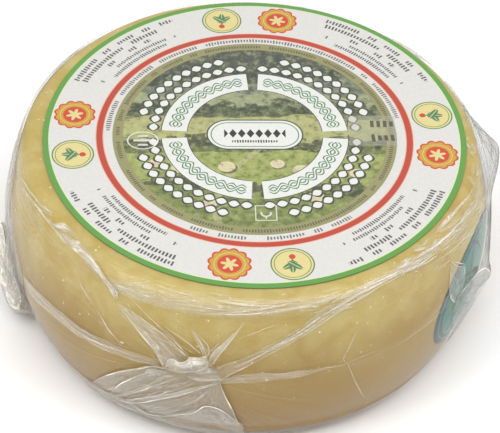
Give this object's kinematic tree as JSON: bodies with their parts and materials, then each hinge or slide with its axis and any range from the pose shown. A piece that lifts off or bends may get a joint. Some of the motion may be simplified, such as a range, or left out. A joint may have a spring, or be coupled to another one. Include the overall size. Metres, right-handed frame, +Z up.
{
  "type": "wheel of pecorino cheese in a clear sealed bag",
  "caption": "Whole wheel of hard sheep's-milk cheese, sealed in a tight clear bag with gathered folds and ears, with a round printed paper label on its top face.",
  "frame": {"origin": "middle of the wheel's flat underside, on the surface that it stands on", "axes": "+Z up along the wheel's axis, -Y towards the front, where the bag is gathered, +X to the right seen from the front"},
  "size_m": [0.2032, 0.2035, 0.0782],
  "materials": {
    "wrapped_cheese": "pale yellow rind seen through glossy clear film",
    "label_paper": "satin printed paper under clear film"
  },
  "bodies": {
    "root": {"bagged_wheel": "wrapped_cheese", "paper_label": "label_paper"}
  },
  "joints": []
}
